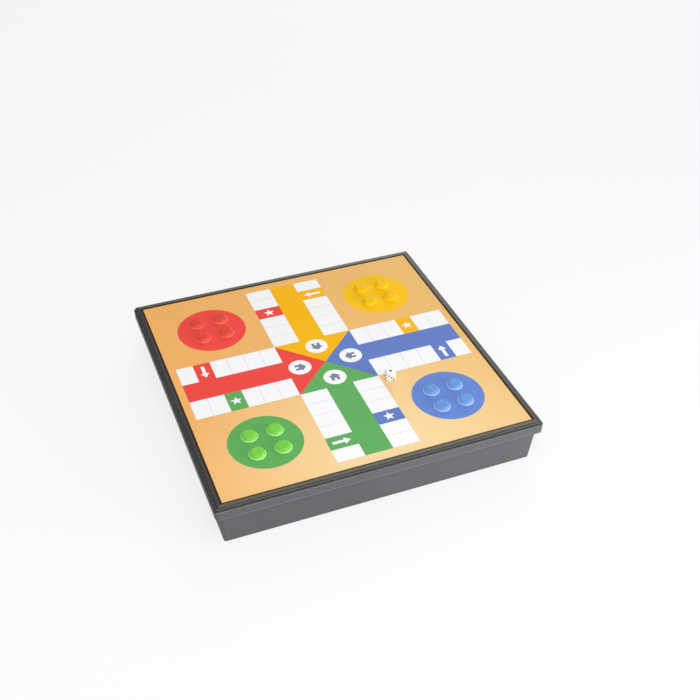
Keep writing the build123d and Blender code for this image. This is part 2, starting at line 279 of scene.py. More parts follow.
def square_moulding(name, rings, closed=False):
    """Rounded squares bridged from the first to the last, and filled or closed on themselves."""
    pick_nothing()
    stack = [stack_foot + stack_pitch * number for number in range(len(rings))]
    for (half, corner, level), waiting in zip(rings, stack):
        bpy.ops.mesh.primitive_plane_add(size=2 * half * mm, location=(0, 0, waiting * mm))
        if waiting == stack[0]:
            piece = settle(bpy.context.object, name)
            pick_all(piece)
        bpy.ops.mesh.bevel(offset=corner * mm, segments=corner_steps, affect="VERTICES")
    pick_all(piece)
    bpy.ops.mesh.delete(type="ONLY_FACE")
    followers = stack[1:] + (stack[:1] if closed else [])
    for here, there in zip(stack, followers):
        pick(piece, "EDGE", at_level(here, there))
        bpy.ops.mesh.bridge_edge_loops()
    if not closed:
        for end in (stack[0], stack[-1]):
            pick(piece, "EDGE", at_level(end))
            bpy.ops.mesh.edge_face_add()
    for (half, corner, level), waiting in zip(rings, stack):
        pick(piece, "VERT", at_level(waiting))
        bpy.ops.transform.translate(value=(0, 0, (level - waiting) * mm))
    return face_outwards(piece)


print("Each corner has", corner_steps, "steps")

# %% [markdown]
# ## The tray's shell
# The tray is one injection moulding. Its walls lean outwards by a few degrees so that it comes
# out of the mould, and a rim with a hollow skirt stiffens the mouth and carries the lid. The
# whole skin is a single run of rings: up the outside, round the skirt, over the rim, down to the
# seat and into the inside. A small bead runs along the skirt's lower edge. The edges are rounded
# after that, each with its own radius.

# %% The tray: rings from the underside to the floor
wall_draft, skirt_draft = math.tan(math.radians(4.6)), math.tan(math.radians(2.0))
rim_level, seat_level, plate_level, skirt_level, floor_level = 37.6, 36.8, 34.8, 29.4, 2.0
rim_outside, mouth_half, skirt_overhang = 131.9, 129.6, 3.65
wall_thickness, skirt_thickness = 2.2, 1.6
wall_corner, hollow_corner, skirt_corner = 2.0, 1.6, 3.3
rim_corner, mouth_corner, inside_corner = 3.2, 1.8, 2.8
bead_proud, bead_radius, bead_middle = 0.1, 0.72, skirt_level + 0.88
bead_angles = (0, 13, 25, 37.2)


def skirt_half(level):
    """Half width of the rim's skirt at a level."""
    return rim_outside - (rim_level - level) * skirt_draft


def wall_half(level):
    """Half width of the tray's outer wall at a level."""
    return base_half + level * wall_draft


def bead_ring(angle):
    """A ring on the upper round of the bead, at an angle above level."""
    turn = math.radians(angle)
    inward, rise = bead_radius * (1 - math.cos(turn)), bead_radius * math.sin(turn)
    return (skirt_half(skirt_level) + bead_proud - inward, skirt_corner - inward, bead_middle + rise)


base_half = skirt_half(skirt_level) - skirt_overhang - skirt_level * wall_draft
foot = (base_half, wall_corner, 0.0)
skirt_root = (wall_half(plate_level), wall_corner, plate_level)
hollow_top = (skirt_half(plate_level) - skirt_thickness, hollow_corner, plate_level)
hollow_foot = (skirt_half(skirt_level) - skirt_thickness, hollow_corner, skirt_level)
bead_foot = (skirt_half(skirt_level) + bead_proud, skirt_corner, skirt_level)
rim_edge = (rim_outside, rim_corner, rim_level)
step_edge = (mouth_half, mouth_corner, rim_level)
step_foot = (mouth_half, mouth_corner, seat_level)
seat_edge = (wall_half(seat_level) - wall_thickness, inside_corner, seat_level)
floor_edge = (wall_half(floor_level) - wall_thickness, inside_corner, floor_level)
tray = square_moulding("tray", [
    foot, skirt_root, hollow_top, hollow_foot, bead_foot, *map(bead_ring, bead_angles),
    rim_edge, step_edge, step_foot, seat_edge, floor_edge])
for ring, radius, steps in (
        (floor_edge, 2.7, 6), (foot, 0.5, 4), (bead_foot, bead_radius, 5), (rim_edge, 0.6, 5),
        (hollow_foot, 0.3, 2), (step_edge, 0.2, 2), (seat_edge, 0.3, 2)):
    soften(tray, lies_on(ring), radius, steps)
tell(tray)

# %% [markdown]
# ## Webs inside the rim
# Turned over, such a tray shows a row of thin webs in the hollow of its rim. They keep the skirt
# straight without making the rim heavy. One web is modelled, an Array modifier sets nine in a
# row, and the row is spun round the four sides before it is joined to the shell.

# %% The tray: webs
web_width, web_count = 1.2, 9
web_low, web_top = skirt_level + 0.8, plate_level + 1.0
web_inner = wall_half(skirt_level) - wall_thickness / 2
web_outer = skirt_half(skirt_level) - skirt_thickness / 2
web_pitch = 2 * base_half / (web_count + 1)
first_web = -(web_count - 1) / 2 * web_pitch
webs = bar("webs", first_web, web_width, (-web_outer, -web_inner), (web_low, web_top))
soften(webs, at_level(web_low), 0.25, 2)
combine(tray, on_four_sides(in_a_row(webs, web_count, web_pitch)))
print(web_count, "webs on each side,", round(web_pitch, 2), "mm apart")

# %% [markdown]
# ## Dividers
# A fence parts a long bay for the folded rules and paper from a row of small bays for men and
# die. It is moulded with the floor. A cube is stretched for each wall, its lower end is drawn in
# so that it follows the leaning tray wall, and the crest gets a bevel, because a sharp
# plastic edge would chip.

# %% The tray: fence and fins
divider, crest_round, bay_depth, bay_count = 1.6, 0.5, 46.0, 5
divider_levels = divider_foot, divider_top = floor_level / 2, 24.0
inside_half = wall_half(floor_level) - wall_thickness
reach_top = wall_half(divider_top) - wall_thickness / 2
reach_foot = wall_half(divider_foot) - wall_thickness / 2
fence_y = bay_depth + divider / 2 - inside_half
fence = bar("fence", 0, 2 * reach_top, (fence_y - divider / 2, fence_y + divider / 2), divider_levels)
pick(fence, "VERT", at_level(divider_foot))
bpy.ops.transform.resize(value=(reach_foot / reach_top, 1, 1), center_override=(0, 0, 0))
soften(fence, at_level(divider_top), crest_round)
bay_pitch = 2 * inside_half / bay_count
first_fin = bay_pitch - inside_half
fins = bar("fins", first_fin, divider, (-reach_top, fence_y), divider_levels)
pick(fins, "VERT", lambda points: points[0].z < floor_level * mm and points[0].y < -reach_foot * mm)
bpy.ops.transform.translate(value=(0, (reach_top - reach_foot) * mm, 0))
soften(fins, at_level(divider_top), crest_round)
combine(tray, combine(fence, in_a_row(fins, bay_count - 1, bay_pitch)))
print("Small bays:", bay_count, "of", round(bay_pitch - divider, 1), "x", bay_depth, "mm")

# %% [markdown]
# ## Hinge knuckles on the tray
# Each hinge has two knuckles on the tray with the lid's barrel between them. A knuckle is a
# short tube on a gusset that runs down into the skirt. The Convex Hull operator wraps a cylinder
# and a thin plate in one tight skin, which is just how such a gusset looks. A solid boss fills
# the hollow rim behind the hinge, a notch lets the lid's arm through, and a blind hole takes the
# pin. A cutter overruns the surface that it opens, so that no thin film is left.

# %% The tray: bosses and knuckles
hinge_x, hinge_y, hinge_z = 75.0, 134.6, 33.25
barrel, barrel_end, knuckle_start, knuckle_end = 2.5, 8.0, 8.3, 16.3
gusset_root, gusset_plate = web_outer, 0.4
gusset_low, gusset_top = skirt_level + 0.6, hinge_z + barrel


def at_both_hinges(piece):
    """Add a copy of a piece at the left hinge."""
    return copy_along(piece, x=-2 * hinge_x)


def knuckle_ends(points):
    """Edges round the two ends of the knuckle that stand out behind the skirt."""
    xs = [p.x for p in points]
    return max(xs) - min(xs) < slack and all(p.y > (gusset_root + gusset_plate / 2) * mm for p in points)


bosses = bar("bosses", hinge_x, 2 * knuckle_end, (web_inner, web_outer), (web_low, web_top))
combine(tray, at_both_hinges(bosses))
knuckles = rod("knuckles", barrel, hinge_x + knuckle_start, hinge_x + knuckle_end, hinge_y, hinge_z, 40)
bpy.ops.object.mode_set(mode="EDIT")
bpy.ops.mesh.primitive_cube_add(
    size=1, location=((hinge_x + (knuckle_start + knuckle_end) / 2) * mm,
                      (gusset_root + gusset_plate / 2) * mm, (gusset_low + gusset_top) / 2 * mm),
    scale=((knuckle_end - knuckle_start) * mm, gusset_plate * mm, (gusset_top - gusset_low) * mm))
bpy.ops.mesh.select_all(action="SELECT")
bpy.ops.mesh.convex_hull()
bpy.ops.mesh.dissolve_limited(angle_limit=math.radians(1))
soften(knuckles, knuckle_ends, 0.2, 2)
copy_along(knuckles, x=-(knuckle_start + knuckle_end))
combine(tray, at_both_hinges(knuckles))
tell(tray)

# %% The tray: notches and pin holes
overrun = 1
notch_width, notch_front, notch_back, notch_low = 16.58, 129.59, 133.5, hinge_z + 0.6 * barrel
notches = bar("notches", hinge_x, notch_width, (notch_front, notch_back), (notch_low, rim_level + overrun))
combine(tray, at_both_hinges(notches), "DIFFERENCE")
hole_radius, hole_start, hole_end = 1.02, hinge_x - 17.3, hinge_x + 14.8
pin_holes = rod("pin_holes", hole_radius, hole_start, hole_end, hinge_y, hinge_z)
combine(tray, copy_along(pin_holes, x=-(hole_start + hole_end)), "DIFFERENCE")
tell(tray)

# %% [markdown]
# ## Marks of the mould
# Where the ejector pins push a moulding out they leave shallow rings, and the plastic enters
# through a gate in the middle of the underside. These marks are less than half a millimetre
# deep, but an open box looks like a toy block without them. One short cylinder is added, copied
# to each place and cut into the floor.

# %% The tray: ejector marks and gate
def disc_cutter(name, radius, x, y, low, high):
    """A short upright cylinder."""
    pick_nothing()
    bpy.ops.mesh.primitive_cylinder_add(
        vertices=40, radius=radius * mm, depth=(high - low) * mm,
        location=(x * mm, y * mm, (low + high) / 2 * mm))
    return settle(bpy.context.object, name)


mark_radius, mark_x, mark_pitch, mark_depth = 3.0, 96.0, 72.0, 0.15
marks = disc_cutter("marks", mark_radius, -mark_x, mark_x, floor_level - mark_depth, floor_level + overrun)
copy_along(marks, x=mark_x)
copy_along(marks, y=-mark_pitch)
pick(marks, "VERT", lambda points: points[0].x < -mark_x / 2 * mm)
bpy.ops.mesh.duplicate_move(TRANSFORM_OT_translate={"value": (2 * mark_x * mm, 0, 0)})
combine(tray, marks, "DIFFERENCE")
well_radius, well_depth, stub_radius, stub_foot = 5.0, 0.4, 1.5, 0.15
combine(tray, disc_cutter("gate_well", well_radius, 0, 0, -overrun, well_depth), "DIFFERENCE")
combine(tray, disc_cutter("gate_stub", stub_radius, 0, 0, stub_foot, floor_level / 2))
shade(tray)
tell(tray)

# %% [markdown]
# ## The lid's plate
# The lid is one moulding too. Seen from outside it is a flat border in two steps: a narrow outer
# ledge, and inside it a raised band that guards the edge of the printed card. It is made as the
# tray is, as rings from the underside to the floor of the recess, and the same bevels catch the
# light along its edges.

# %% The lid: rings from the seat to the recess
ledge_level, ridge_top, under_level, panel_top = 39.3, 39.9, 38.1, 38.6
under_half, edge_half, ridge_half, recess_half = 129.0, 130.5, 129.15, 125.15
lid_corner, lead_in = 1.0, 0.5
lid_seat = (under_half - lead_in, lid_corner - lead_in, seat_level)
lid_lead_in = (under_half, lid_corner, seat_level + lead_in)
lid_under_edge = (under_half, lid_corner, under_level)
lid_edge_foot = (edge_half, lid_corner, under_level)
lid_edge_top = (edge_half, lid_corner, ledge_level)
ridge_foot = (ridge_half, lid_corner, ledge_level)
ridge_edge = (ridge_half, lid_corner, ridge_top)
recess_edge = (recess_half, lid_corner, ridge_top)
recess_foot = (recess_half, lid_corner, panel_top)
lid = square_moulding("lid", [
    lid_seat, lid_lead_in, lid_under_edge, lid_edge_foot, lid_edge_top, ridge_foot, ridge_edge,
    recess_edge, recess_foot])
for ring, radius, steps in (
        (lid_edge_top, 0.4, 4), (ridge_edge, 0.4, 4), (recess_edge, 0.12, 2), (lid_edge_foot, 0.12, 2)):
    soften(lid, lies_on(ring), radius, steps)
tell(lid)

# %% [markdown]
# ## The lid's lip and ribs
# Under the plate a thin lip drops inside the tray's mouth and keeps the lid from sliding, and a
# grid of ribs stops the broad panel from bowing. The lip is a closed run of rings that is cut
# away near the hinges, where it would strike the tray as the lid swings. The ribs are one bar,
# arrayed, and the same row again turned by a right angle.

# %% The lid: lip and ribs
lip_foot, lip_root, lip_gap, lip_thickness, lip_cut = seat_level - 3.4, seat_level + 0.6, 0.45, 1.6, 10
lip_corner, lip_inner_corner = 2.8, 2.0
lip_half = wall_half(lip_foot) - wall_thickness - lip_gap
lip_inside = lip_half - lip_thickness
lip = square_moulding("lip", [
    (lip_half - lead_in, lip_corner - lead_in, lip_foot), (lip_half, lip_corner, lip_foot + lead_in),
    (lip_half, lip_corner, lip_root), (lip_inside, lip_inner_corner, lip_root),
    (lip_inside, lip_inner_corner, lip_foot)], closed=True)
pick_all(lip)
bpy.ops.mesh.bisect(
    plane_co=(0, (lip_half - lip_cut) * mm, 0), plane_no=(0, 1, 0), use_fill=True, clear_outer=True)
combine(lid, face_outwards(lip))
rib_width, rib_count, rib_low = 1.2, 5, seat_level - 2.4
rib_reach = lip_half - lip_thickness / 2
rib_pitch = 2 * rib_reach / (rib_count + 1)
first_rib = -(rib_count - 1) / 2 * rib_pitch
for name, turn in (("ribs_across", 0), ("ribs_along", 90)):
    ribs = bar(name, first_rib, rib_width, (-rib_reach, rib_reach), (rib_low, lip_root))
    soften(ribs, at_level(rib_low), 0.2, 2)
    in_a_row(ribs, rib_count, rib_pitch).rotation_euler.z = math.radians(turn)
    combine(lid, settle(ribs))
print("Lid ribs every", round(rib_pitch, 1), "mm")

# %% [markdown]
# ## The lid's hinge arms
# Two arms leave the lid's rear edge, pass through the notches in the rim and end in barrels that
# turn on the pins. A small nose under each barrel meets the back of the rim and stops the lid
# just past upright. Their side view is the shape that matters, so it is drawn from corner to
# corner by extruding one point, filled, and pulled out to the width of the arm.

# %% Helpers that draw an outline
def drawn_line(name, points):
    """A line from point to point, made by extruding one point, and left open in edit mode."""
    points = [Vector(point) * mm for point in points]
    pick_nothing()
    bpy.ops.mesh.primitive_plane_add(size=mm, location=points[0])
    piece = settle(bpy.context.object, name)
    pick_all(piece)
    bpy.ops.mesh.merge(type="CENTER")
    for here, there in zip(points, points[1:]):
        bpy.ops.mesh.extrude_vertices_move(TRANSFORM_OT_translate={"value": there - here})
    bpy.ops.mesh.select_all(action="SELECT")
    return piece


def side_view(name, corners):
    """A side view drawn in Y and Z, filled and pulled out along X to the width of the arm."""
    piece = drawn_line(name, [(hinge_x - barrel_end, y, z) for y, z in corners])
    bpy.ops.mesh.edge_face_add()
    bpy.ops.mesh.extrude_region_move(TRANSFORM_OT_translate={"value": (2 * barrel_end * mm, 0, 0)})
    return face_outwards(piece)


def barrel_touch(y, z):
    """Where a straight line from a point touches the top of the barrel."""
    across, down = hinge_y - y, hinge_z - z
    distance = math.hypot(across, down)
    length = math.sqrt(distance ** 2 - barrel ** 2)
    angle = math.atan2(down, across) + math.asin(barrel / distance)
    return y + length * math.cos(angle), z + length * math.sin(angle)


print("Arms are", 2 * barrel_end, "mm wide")

# %% The lid: arms, barrels and stop noses
arm_root, arm_heel, arm_inset = 128.5, 130.05, 0.3
shoulder, neck = (130.2, ledge_level - arm_inset), barrel * math.sqrt(0.5)
arms = side_view("arms", [
    (arm_root, seat_level + lead_in), (arm_root, under_level + arm_inset), shoulder, barrel_touch(*shoulder),
    (hinge_y, hinge_z), (hinge_y - neck, hinge_z + neck), (arm_heel, seat_level)])
combine(arms, rod("barrel", barrel, hinge_x - barrel_end, hinge_x + barrel_end, hinge_y, hinge_z, 64))
lid_opening, stop_reach, stop_gap = 105, 3.6, 0.06
nose_root, nose_spread = 0.9 * barrel, math.radians(32)
stop_face = hinge_y - skirt_half(hinge_z - barrel) - stop_gap
stop_angle = math.radians(180 - lid_opening) + math.asin(stop_face / stop_reach)
nose = [(hinge_y + reach * math.sin(stop_angle + turn), hinge_z + reach * math.cos(stop_angle + turn))
        for reach, turn in ((stop_reach, 0), (nose_root, -nose_spread), (nose_root, nose_spread))]
combine(arms, side_view("nose", nose))
combine(lid, at_both_hinges(arms))
bore_radius, bore_reach = 1.08, barrel_end + overrun
bores = rod("bores", bore_radius, hinge_x - bore_reach, hinge_x + bore_reach, hinge_y, hinge_z)
combine(lid, at_both_hinges(bores), "DIFFERENCE")
mark_radius, mark_x, mark_depth = 2.5, 104.0, 0.12
marks = disc_cutter("marks", mark_radius, -mark_x, mark_x, seat_level - overrun, seat_level + mark_depth)
copy_along(marks, x=2 * mark_x)
combine(lid, copy_along(marks, y=-2 * mark_x), "DIFFERENCE")
shade(lid)
tell(lid)

# %% [markdown]
# ## The printed card
# The playing surface is a sheet of stiff card with a gloss film, glued over a thin steel sheet that
# the men's magnets hold on to. A plane with rounded corners is extruded by the card's thickness.
# Its upper edge is cut with a blade, so it gets only the smallest bevel, and the white core of
# the card shows on the sides.

# %% The printed card
print_half, print_level, card, card_corner = 125.0, 39.4, 0.4, 1.0
pick_nothing()
bpy.ops.mesh.primitive_plane_add(size=2 * print_half * mm, location=(0, 0, (print_level - card) * mm))
printed_card = settle(bpy.context.object, "printed_card")
pick_all(printed_card)
bpy.ops.mesh.bevel(offset=card_corner * mm, segments=6, affect="VERTICES")
bpy.ops.mesh.select_all(action="SELECT")
bpy.ops.mesh.extrude_region_move(TRANSFORM_OT_translate={"value": (0, 0, card * mm)})
face_outwards(printed_card)
soften(printed_card, lies_on((print_half, card_corner, print_level)), 0.06, 2)
shade(printed_card)
tell(printed_card)

# %% [markdown]
# ## The men
# A man is a low round button with sloping sides and a thin foot that stands out a little. It is
# moulded in coloured plastic with a pocket underneath for its magnet. It is a turned shape, so
# half of its outline is drawn and spun about the upright axis like clay on a wheel. The rims are
# rounded last. A circle is a rounded square whose corner radius is half its width, so the test
# for rings finds them too.

# %% The men: one turned button
man_foot, man_waist, man_top, man_height, foot_height = 6.7, 6.2, 5.3, 3.6, 0.9
pocket, pocket_height, man_turns = 4.05, 1.6, 72
waist_height = foot_height + 0.1


def turned(name, outline, turns):
    """Half an outline, drawn in radius and height, spun about the Z axis."""
    piece = drawn_line(name, [(radius, 0, height) for radius, height in outline])
    bpy.ops.mesh.spin(steps=turns, angle=math.radians(360), center=(0, 0, 0), axis=(0, 0, 1))
    return face_outwards(piece)


man = turned("man", [
    (0, pocket_height), (pocket, pocket_height), (pocket, 0), (man_foot, 0), (man_foot, foot_height),
    (man_waist, waist_height), (man_top, man_height), (0, man_height)], man_turns)
for radius, height, rounding, steps in (
        (man_top, man_height, 1.6, 8), (man_waist, waist_height, 0.15, 2),
        (man_foot, foot_height, 0.25, 3), (man_foot, 0, 0.15, 2)):
    soften(man, lies_on((radius, radius, height)), rounding, steps)
shade(man, 40)
tell(man)

# %% [markdown]
# ## Sixteen men
# Four men of a colour stand in each home circle. The finished man is duplicated to every place,
# and each copy has its own mesh, so that it can be lifted and finished by itself.

# %% The men: sixteen places
home_offset, man_offset = 76.0, 10.25
home_circles = {"red": (-1, 1), "yellow": (1, 1), "green": (-1, -1), "blue": (1, -1)}
men = {}
for colour, (side, end) in home_circles.items():
    for number, (x, y) in enumerate(home_circles.values(), start=1):
        take(man)
        bpy.ops.object.duplicate(linked=False)
        copy = bpy.context.object
        copy.location = ((side * home_offset + x * man_offset) * mm,
                         (end * home_offset + y * man_offset) * mm, print_level * mm)
        men[colour, number] = settle(copy, f"man_{colour}_{number}_button")
bpy.data.objects.remove(man)
print(len(men), "men")

# %% [markdown]
# ## The die
# The die is a small cube with rounded edges and drilled pips, where opposite faces add up to
# seven. The pips are cut with shallow balls that carry the paint's material, because the
# Boolean modifier hands the cutter's material on to the dents it leaves.

# %% The die: a rounded cube
die_half, die_round = 4.0, 1.0
die = bar("die_cube", 0, 2 * die_half, (-die_half, die_half), (-die_half, die_half))
soften(die, lambda points: True, die_round, 6)
tell(die)

# %% [markdown]
# ## Building finishes from nodes
# A finish is a small network of nodes. Colours are written the way a printer writes them, from
# 0 to 255, and have to be turned into the light values that Blender mixes. A few helpers add
# nodes and wire them into the tree that their sockets come from. All patterns are laid out in the
# object's own coordinates, so they stay where they are when a piece moves.

# %% Helpers that mix colours and add nodes
def ink(red, green, blue):
    """A colour from 0 to 255 as the light values that Blender mixes."""
    def light(value):
        value = value / 255
        return value / 12.92 if value <= 0.04045 else ((value + 0.055) / 1.055) ** 2.4
    return (light(red), light(green), light(blue), 1.0)


def dimmed(colour, share):
    """A colour from 0 to 255 as light, with each value multiplied by a share."""
    return tuple(share * value for value in ink(*colour)[:3]) + (1,)


def new_finish(name, colour, roughness, gloss=0.5):
    """A material and its shader, with the even colour, roughness and gloss set."""
    finish = bpy.data.materials.new(name)
    finish.use_nodes = True
    shader = finish.node_tree.nodes["Principled BSDF"]
    shader.inputs["Base Color"].default_value = ink(*colour)
    shader.inputs["Roughness"].default_value = roughness
    shader.inputs["Specular IOR Level"].default_value = gloss
    finish.diffuse_color = ink(*colour)
    return finish, shader


def feed(socket, value):
    """Wire a value into a socket, or set it there."""
    if isinstance(value, bpy.types.NodeSocket):
        socket.id_data.links.new(value, socket)
    else:
        socket.default_value = value


def fed_node(kind, values, **settings):
    """A node that is set and fed, in the tree that the first wired value comes from."""
    tree = next(value.id_data for value in values if isinstance(value, bpy.types.NodeSocket))
    node = tree.nodes.new(kind)
    for setting, choice in settings.items():
        setattr(node, setting, choice)
    for socket, value in zip(node.inputs, values):
        feed(socket, value)
    return node


def lay(ground, colour, mask):
    """Lay one colour over another where the mask is one."""
    mix = fed_node("ShaderNodeMix", [mask], data_type="RGBA")
    feed(mix.inputs[6], ground)
    feed(mix.inputs[7], colour)
    return mix.outputs[2]


print("Mid grey 128 is", round(ink(128, 128, 128)[0], 3), "as light")

# %% [markdown]
# ## Arithmetic on masks
# A mask is a value that is one inside a shape and nothing outside. Two masks multiplied are one
# where both are, and the larger of two is one where either is, so a few steps of arithmetic
# stand for cutting and joining.

# %% Helpers for masks and values
def maths(operation, *values):
    """One step of arithmetic."""
    return fed_node("ShaderNodeMath", values, operation=operation).outputs[0]


def times(one, other):
    """Two values multiplied, which leaves what lies in both masks."""
    return maths("MULTIPLY", one, other)


def larger(one, other):
    """The larger of two values, which is what lies in either mask."""
    return maths("MAXIMUM", one, other)


def over(value, limit):
    """One where a value is over a limit."""
    return maths("GREATER_THAN", value, limit)


def band(value, low, high):
    """One where a value lies between two limits."""
    return maths("COMPARE", value, (low + high) / 2, (high - low) / 2)


def shifted(value, amount):
    """A value measured from another starting line."""
    return maths("SUBTRACT", value, amount)


def spread(value, low, high, to_low, to_high):
    """Stretch a value from one range to another."""
    return fed_node("ShaderNodeMapRange", (value, low, high, to_low, to_high)).outputs[0]


print("Helpers for masks ready")

# %% [markdown]
# ## Places, clouds and relief
# Grain, haze and waves are all noise at different sizes. It is laid out from the piece's own
# coordinates, and may be stretched to run one way. The same noise can feed a Bump node, which
# bends the light as a dent would without adding a single face.

# %% Helpers that lay patterns on a piece
def object_place(shader, stretch=(1, 1, 1), shift=(0, 0, 0)):
    """The object's own coordinates, stretched for grain that runs one way."""
    nodes = shader.id_data.nodes
    mapping = nodes.new("ShaderNodeMapping")
    mapping.inputs["Scale"].default_value = stretch
    mapping.inputs["Location"].default_value = shift
    feed(mapping.inputs["Vector"], nodes.new("ShaderNodeTexCoord").outputs["Object"])
    return mapping.outputs["Vector"]


def millimetres(place, axes="XYZ"):
    """Some of a place's coordinates in millimetres."""
    parts = fed_node("ShaderNodeSeparateXYZ", [place])
    return [maths("DIVIDE", parts.outputs[axis], mm) for axis in axes]


def cloud(place, scale, detail=2.0, roughness=0.5):
    """A soft noise whose patches are about one over scale metres wide."""
    noise = fed_node("ShaderNodeTexNoise", [place])
    for name, value in (("Scale", scale), ("Detail", detail), ("Roughness", roughness)):
        noise.inputs[name].default_value = value
    return noise.outputs["Fac"]


def tint(shader, colour):
    """Wire a colour that varies over a surface into its shader."""
    feed(shader.inputs["Base Color"], colour)


def roughen(shader, noise, smooth, rough, low=0.3, high=0.7):
    """Let a noise vary the roughness between two values."""
    feed(shader.inputs["Roughness"], spread(noise, low, high, smooth, rough))


def relief(shader, *layers):
    """Bumps from the broadest to the finest: each has a height, a depth in millimetres and a strength."""
    below = None
    for height, depth, strength in layers:
        bump = shader.id_data.nodes.new("ShaderNodeBump")
        for name, value in (("Distance", depth * mm), ("Strength", strength), ("Height", height)):
            feed(bump.inputs[name], value)
        if below:
            feed(bump.inputs["Normal"], below)
        below = bump.outputs["Normal"]
    feed(shader.inputs["Normal"], below)


def give(piece, *finishes):
    """Replace all material slots of a new piece."""
    piece.data.materials.clear()
    for finish in finishes:
        piece.data.materials.append(finish)


print("Helpers for places ready")

# %% [markdown]
# ## Moulded plastic for the case
# Boxes like this are moulded in grey polystyrene or ABS from a spark-eroded tool, which leaves a
# fine even grain and a satin sheen. Broad low waves from uneven cooling keep the long flat
# walls from looking like drawn planes. The tray and the lid are separate mouldings, and the
# lid is from a darker batch, so one function makes both finishes.

# %% Case plastic
def case_plastic(name, colour, roughness, gloss, seed):
    """Satin moulded plastic with grain, cloudy tone and slow waves, and the skin to paint light and shade on.
    """
    finish, shader = new_finish(name, colour, roughness, gloss)
    place = object_place(shader, shift=(seed, seed, 0))
    speckle = cloud(place, 1300, 1)
    tone = maths("ADD", times(cloud(place, 18, 3), 0.6), times(speckle, 0.4))
    skin = lay(dimmed(colour, 0.92), dimmed(colour, 1.08), spread(tone, 0.36, 0.64, 0, 1))
    roughen(shader, speckle, roughness - 0.04, roughness + 0.04)
    relief(shader, (cloud(place, 26, 1), 0.35, 0.5), (cloud(place, 2600, 1), 0.012, 0.5))
    return finish, shader, skin


def measures(shader):
    """How far out a place is in X and in Y, and its height."""
    x, y, z = millimetres(object_place(shader))
    return maths("ABSOLUTE", x), maths("ABSOLUTE", y), z


print("Case plastic ready")

# %% [markdown]
# ## Painted light and shade on the tray and the lid
# Painted highlights make the plastic a little paler along the tray's lower edge and on the front and back of
# its rim, and a painted sheen pales the front and back rails of the lid. Painted shade darkens the sides of
# the rim, the joint beside the card and, more faintly, the foot of the ridge. Each of these places is a mask
# made from the distances out and the height.

# %% The tray's finish
tray_plastic, shader, skin = case_plastic("tray_grey_plastic", (98, 97, 100), 0.55, 0.3, 0.0)
across, along, height = measures(shader)
shade_from, highlight_edge_from, highlight_rim_from = 130.7, 130.8, 131.2
painted_shade_rim_sides = times(over(across, larger(along, shade_from)), over(height, rim_level - 0.7))
painted_highlight_low_edge = times(over(larger(across, along), highlight_edge_from), band(height, skirt_level - 0.1, skirt_level + 1.5))
painted_highlight_rim_ends = times(over(along, highlight_rim_from), band(height, rim_level - 0.6, rim_level - 0.02))
# Painted shade: the top of the rim is darkened on the left and right sides.
skin = lay(skin, ink(58, 57, 60), times(painted_shade_rim_sides, 0.9))
# Painted highlights: the bead at the skirt's foot and the front and back edges of the rim top are laid paler.
skin = lay(skin, ink(115, 113, 117), times(larger(painted_highlight_low_edge, painted_highlight_rim_ends), 0.8))
tint(shader, skin)
give(tray, tray_plastic)
print("Tray finish:", tray_plastic.name)

# %% The lid's finish
lid_plastic, shader, skin = case_plastic("lid_dark_plastic", (56, 54, 52), 0.36, 0.45, 3.7)
across, along, height = measures(shader)
shade_width, line_half, line_strength = 1.2, 0.45, 0.45
on_top = over(height, ledge_level - 0.3)
painted_sheen_rails = times(over(along, across), on_top)
reach = larger(across, along)
painted_shade_beside_card = times(maths("LESS_THAN", reach, print_half + shade_width), on_top)
painted_shade_ridge_line = times(times(band(reach, ridge_half - line_half, ridge_half + line_half), on_top), line_strength)
# Painted sheen: the front and back rails of the lid top are laid paler.
skin = lay(skin, ink(98, 95, 88), times(painted_sheen_rails, 0.8))
# Painted shade: a dark brown strip along the joint beside the card.
skin = lay(skin, ink(46, 34, 20), times(painted_shade_beside_card, 0.9))
# Fainter painted shade in a thin line at the foot of the ridge.
skin = lay(skin, ink(46, 45, 46), painted_shade_ridge_line)
tint(shader, skin)
feed(shader.inputs["Specular IOR Level"], spread(larger(painted_shade_beside_card, painted_shade_ridge_line), 0, 1, 0.45, 0.1))
give(lid, lid_plastic)
print("Lid finish:", lid_plastic.name)

# %% [markdown]
# ## The ludo artwork
# The printed pattern is drawn with plain arithmetic. Each shape on the board is a mask, and the
# colours are laid over each other through their masks. The four arms of the cross are alike, so
# one arm is drawn in a node group, and the group is used four times with the board turned by a
# quarter. Lengths are in half widths of the card.

# %% Shapes drawn as masks
def box(across, along, left, right, near, far):
    """One inside an upright rectangle."""
    return times(band(across, left, right), band(along, near, far))


def distance_to(across, along, x, y):
    """How far a place is from a point."""
    dx, dy = shifted(across, x), shifted(along, y)
    return maths("SQRT", maths("ADD", times(dx, dx), times(dy, dy)))


def disc(across, along, x, y, radius):
    """One inside a circle."""
    return maths("LESS_THAN", distance_to(across, along, x, y), radius)


def wedge(across, along, x, foot_y, tip_y, half_width):
    """One inside a triangle that narrows evenly from its foot to its tip."""
    room = times(maths("ABSOLUTE", shifted(along, tip_y)), half_width / abs(tip_y - foot_y))
    inside = maths("LESS_THAN", maths("ABSOLUTE", shifted(across, x)), room)
    return times(inside, band(along, min(foot_y, tip_y), max(foot_y, tip_y)))


def grid_lines(value, start, pitch, half_line):
    """One on thin lines that repeat at a pitch."""
    return maths("COMPARE", maths("WRAP", shifted(value, start), pitch / 2, -pitch / 2), 0.0, half_line)


